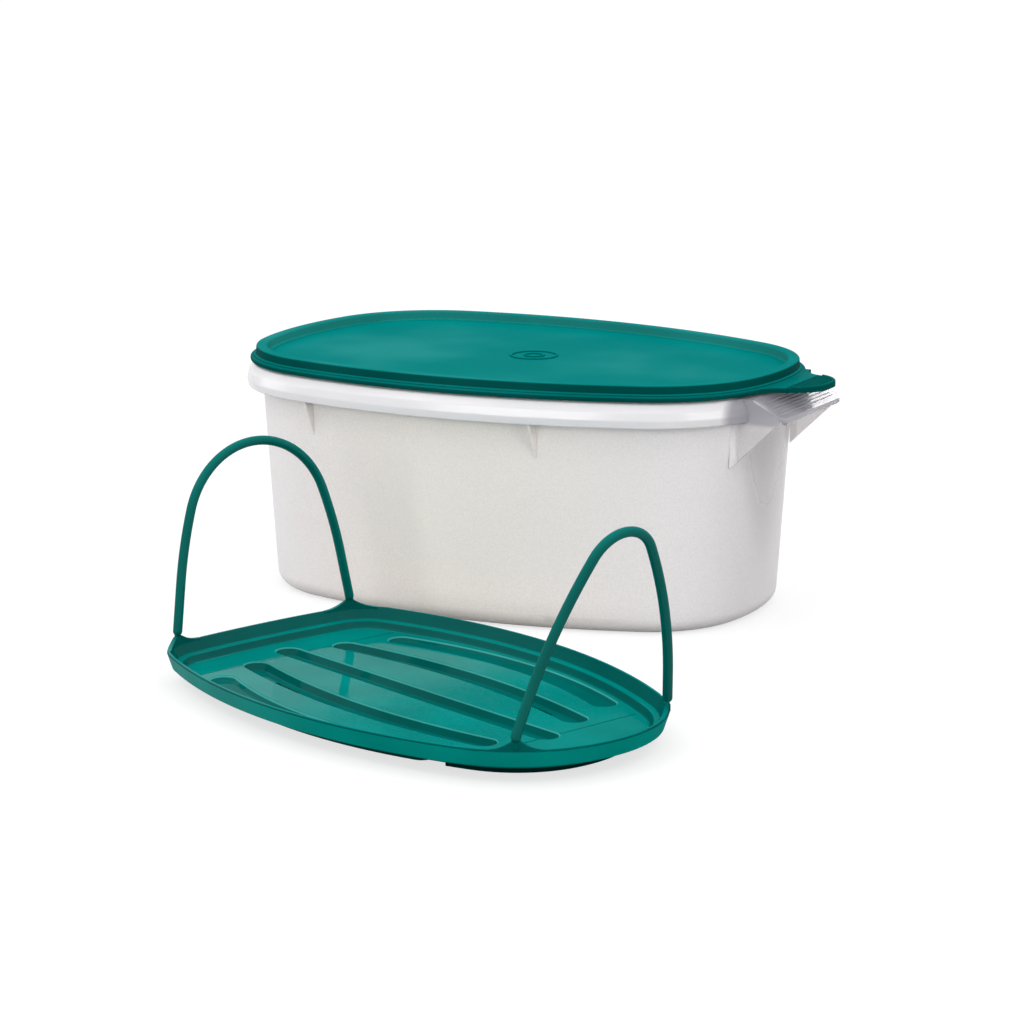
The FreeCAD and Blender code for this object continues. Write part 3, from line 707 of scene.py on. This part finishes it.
class KEEPER_OT_stage(bpy.types.Operator):
    """Set the floor, the light and the camera"""

    bl_idname = "keeper.stage"
    bl_label = "Stage"

    def execute(self, context):
        settings = context.scene.keeper_stage
        floor_mesh = bpy.data.meshes.new("floor")
        shape = bmesh.new()
        bmesh.ops.create_grid(shape, x_segments=2, y_segments=2, size=FLOOR_SIZE)
        shape.to_mesh(floor_mesh)
        shape.free()
        floor = bpy.data.objects.new("floor", floor_mesh)
        floor.location.z = -FLOOR_GAP
        context.scene.collection.objects.link(floor)
        dress(floor, pale_floor(settings))
        studio_world(context.scene, settings)
        soft_light("key", (-0.9, -1.3, 1.9), STAGE_MIDDLE, 0.8, settings.key_power)
        soft_light("fill", (1.7, -0.5, 1.3), STAGE_MIDDLE, 1.1, settings.fill_power)
        for name, place, share in GLOW_LAMPS:
            soft_light(name, place, CONTAINER_MIDDLE, 1.0, settings.glow_power * share,
                       frame["nodes"]["container"])
        lens = bpy.data.cameras.new("camera")
        lens.lens = settings.lens
        lens.sensor_width = 36.0
        lens.sensor_fit = "HORIZONTAL"
        camera = bpy.data.objects.new("camera", lens)
        camera.location = settings.camera_place
        aim = Vector(settings.camera_aim)
        camera.rotation_euler = aim.to_track_quat("-Z", "Y").to_euler()
        context.scene.collection.objects.link(camera)
        context.scene.camera = camera
        context.scene.view_settings.view_transform = "Standard"
        return {"FINISHED"}


def soft_light(name, place, target, size, power, only=None):
    """A square soft box that faces the object, or lights one piece alone."""
    lamp = bpy.data.lights.new(name, "AREA")
    lamp.size = size
    lamp.energy = power
    box = bpy.data.objects.new(name, lamp)
    box.location = place
    away = target - Vector(place)
    box.rotation_euler = away.to_track_quat("-Z", "Y").to_euler()
    bpy.context.scene.collection.objects.link(box)
    if only:
        lit = bpy.data.collections.new(name + "_lights")
        lit.objects.link(only)
        box.light_linking.receiver_collection = lit


def straight_rays(tree):
    """1 for what the camera, gloss and see-through plastic show, else 0."""
    light = add_node(tree, "ShaderNodeLightPath")
    seen = combine(tree, "MAXIMUM", light.outputs["Is Camera Ray"],
                   light.outputs["Is Glossy Ray"])
    return combine(tree, "MAXIMUM", seen, light.outputs["Is Transmission Ray"])


def pale_floor(settings):
    """Matt board, lifted to white where it is seen or mirrored."""
    material, tree = new_material("White board")
    grey = (settings.board,) * 3
    board = add_node(tree, "ShaderNodeBsdfDiffuse", Color=(*grey, 1))
    lift = product(tree, straight_rays(tree), settings.floor_lift)
    glow = add_node(tree, "ShaderNodeEmission", {"Strength": lift})
    both = add_node(tree, "ShaderNodeAddShader",
                    {0: board.outputs[0], 1: glow.outputs[0]})
    finish_material(tree, both.outputs[0])
    return material


def studio_world(scene, settings):
    """White where it is seen or mirrored; its light dims towards the horizon."""
    world = bpy.data.worlds.new("studio")
    world.use_nodes = True
    tree = world.node_tree
    tree.nodes.clear()
    way = add_node(tree, "ShaderNodeTexCoord").outputs["Generated"]
    up = add_node(tree, "ShaderNodeSeparateXYZ", {0: way}).outputs["Z"]
    facing = add_node(tree, "ShaderNodeVectorMath", {0: way}, {"operation": "DOT_PRODUCT"},
                      _1=AWAY_FROM_CAMERA).outputs["Value"]
    low = ramp_between(tree, facing, -0.5, 0.7, settings.near_horizon, settings.horizon)
    lift = ramp_between(tree, up, 0.08, 0.9)
    sky = between(tree, lift, low, settings.sky)
    strength = between(tree, straight_rays(tree), sky, 1.0)
    back = add_node(tree, "ShaderNodeBackground", {"Strength": strength}, Color=(1, 1, 1, 1))
    add_node(tree, "ShaderNodeOutputWorld", {"Surface": back.outputs[0]})
    scene.world = world


class KEEPER_PT_panel(bpy.types.Panel):
    """Lists the keeper's operators"""

    bl_idname = "KEEPER_PT_panel"
    bl_label = "Keeper"
    bl_space_type = "VIEW_3D"
    bl_region_type = "UI"
    bl_category = "Keeper"

    def draw(self, context):
        for operator in STEPS:
            self.layout.operator(operator.bl_idname)
        for group in GROUPS:
            settings = getattr(context.scene, group)
            for name in settings.__annotations__:
                self.layout.prop(settings, name)


GROUPS = {
    "keeper_plastics": KeeperPlastics,
    "keeper_tab_grip": TabGripSizes,
    "keeper_hinge_webs": HingeWebSizes,
    "keeper_stage": StageSettings,
}
STEPS = (
    KEEPER_OT_container,
    KEEPER_OT_lid,
    KEEPER_OT_strainer,
    KEEPER_OT_hinges,
    KEEPER_OT_stage,
)
CLASSES = (*GROUPS.values(), *STEPS, KEEPER_PT_panel)


def register():
    """Registers the classes and puts the settings on the scene."""
    for kind in CLASSES:
        bpy.utils.register_class(kind)
    for name, kind in GROUPS.items():
        setattr(bpy.types.Scene, name, bpy.props.PointerProperty(type=kind))


def unregister():
    """Takes the settings and the classes away again."""
    for name in GROUPS:
        delattr(bpy.types.Scene, name)
    for kind in reversed(CLASSES):
        bpy.utils.unregister_class(kind)


def main():
    """Builds every piece."""
    register()
    for operator in STEPS:
        group, name = operator.bl_idname.split(".")
        getattr(getattr(bpy.ops, group), name)()


if __name__ == "__main__":
    main()
